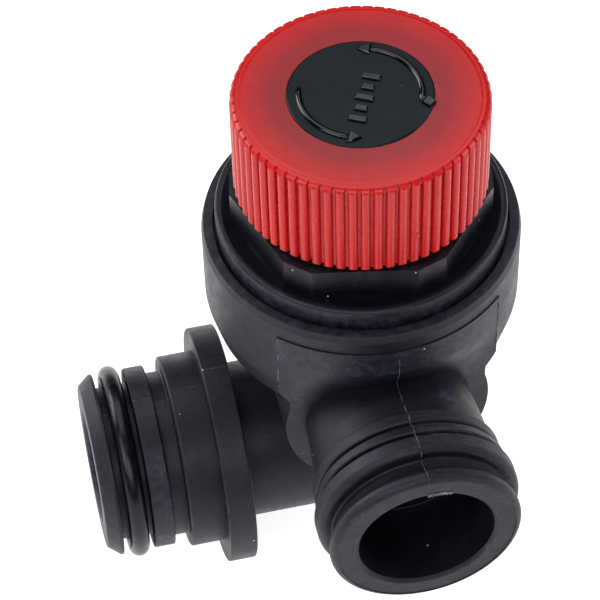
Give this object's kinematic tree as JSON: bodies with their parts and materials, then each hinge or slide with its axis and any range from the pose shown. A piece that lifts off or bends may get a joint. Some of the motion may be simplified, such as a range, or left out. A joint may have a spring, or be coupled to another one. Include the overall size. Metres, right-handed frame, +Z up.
{
  "type": "pressure relief valve",
  "caption": "Compact plastic right-angle pressure relief valve with plug-in inlet and outlet, hex bonnet and a ribbed red lift knob.",
  "frame": {"origin": "centre of the inlet shoulder's front face, on the inlet axis", "axes": "-X out of the inlet, -Y out of the outlet, +Z up the spindle to the knob"},
  "size_m": [0.0547, 0.0526, 0.0752],
  "materials": {
    "body_nylon": "moulded glass-filled nylon, faint grain, matte",
    "bonnet_nylon": "moulded glass-filled nylon, slightly smoother",
    "seal_rubber": "moulded EPDM, slight sheen",
    "diaphragm_rubber": "fabric-reinforced EPDM",
    "disc_rubber": "EPDM",
    "inner_plastic": "natural acetal",
    "zinc_steel": "zinc plated",
    "spring_steel": "drawn wire",
    "brass": "turned",
    "knob_red": "moulded polypropylene, satin, ribbed rim",
    "cap_plastic": "satin top with raised glossy arrows"
  },
  "bodies": {
    "housing": {"valve_body": "body_nylon", "inlet_o_ring": "seal_rubber", "bonnet": "bonnet_nylon", "diaphragm": "diaphragm_rubber", "slip_ring": "zinc_steel", "spring_adjuster": "brass", "spring": "spring_steel"},
    "lift_washer_body": {"lift_washer": "zinc_steel"},
    "knob_body": {"knob": "knob_red", "knob_cap": "cap_plastic"},
    "stem_body": {"stem": "brass", "spindle_nut": "zinc_steel", "spring_plate": "zinc_steel", "diaphragm_plate": "brass", "disc_holder": "inner_plastic", "valve_disc": "disc_rubber", "disc_washer": "zinc_steel", "disc_screw": "zinc_steel"}
  },
  "joints": [
    {"name": "cam_lift", "type": "slide", "parent": "housing", "child": "lift_washer_body", "axis": [0, 0, 1], "range_m": [0, 0.0018], "deforming": ["spring", "diaphragm"]},
    {"name": "knob_turn", "type": "hinge", "parent": "lift_washer_body", "child": "knob_body", "pos_m": [0.0206, 0, 0.0535], "axis": [0, 0, 1], "range_deg": [0, 60]},
    {"name": "relief_lift", "type": "slide", "parent": "lift_washer_body", "child": "stem_body", "axis": [0, 0, 1], "range_m": [0, 0.0015]}
  ],
  "couplings": [
    {"joint": "cam_lift", "follows": "knob_turn", "m_per_rad": 0.0017189}
  ]
}
